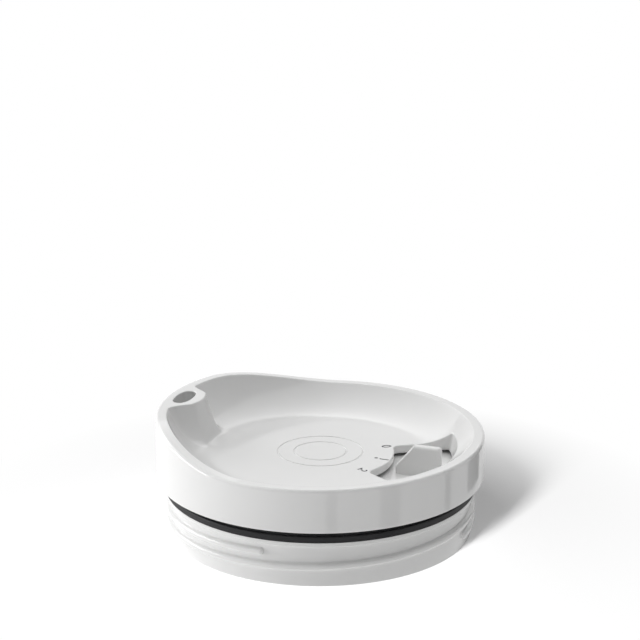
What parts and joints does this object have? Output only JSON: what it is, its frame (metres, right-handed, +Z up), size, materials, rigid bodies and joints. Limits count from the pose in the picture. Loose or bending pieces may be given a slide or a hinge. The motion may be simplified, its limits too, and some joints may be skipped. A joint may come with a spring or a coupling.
{
  "type": "tumbler lid",
  "caption": "Screw-in tumbler lid with a dished top, a raised drinking spout, a black sealing ring and a thumb lever that turns a selector between shut, sip and straw.",
  "frame": {"origin": "on the lid's axis, at the bottom of the threaded skirt", "axes": "+Z up along the lid's axis, +X towards the thumb lever at rest, with the spout on the other side, 3 degrees from -X towards -Y"},
  "size_m": [0.0999, 0.1, 0.0372],
  "materials": {
    "white_plastic": "glossy moulded white",
    "selector_plastic": "semi-gloss moulded white",
    "black_silicone": "matte black silicone"
  },
  "bodies": {
    "lid": {"lid_body": "white_plastic", "lid_gasket": "black_silicone", "slot_seal": "black_silicone", "spout_seal": "black_silicone", "hub_cap": "selector_plastic"},
    "selector": {"selector": "selector_plastic"}
  },
  "joints": [
    {"name": "selector_turn", "type": "hinge", "parent": "lid", "child": "selector", "pos_m": [0, 0, 0.0194], "axis": [0, 0, 1], "range_deg": [-27, 27]}
  ]
}
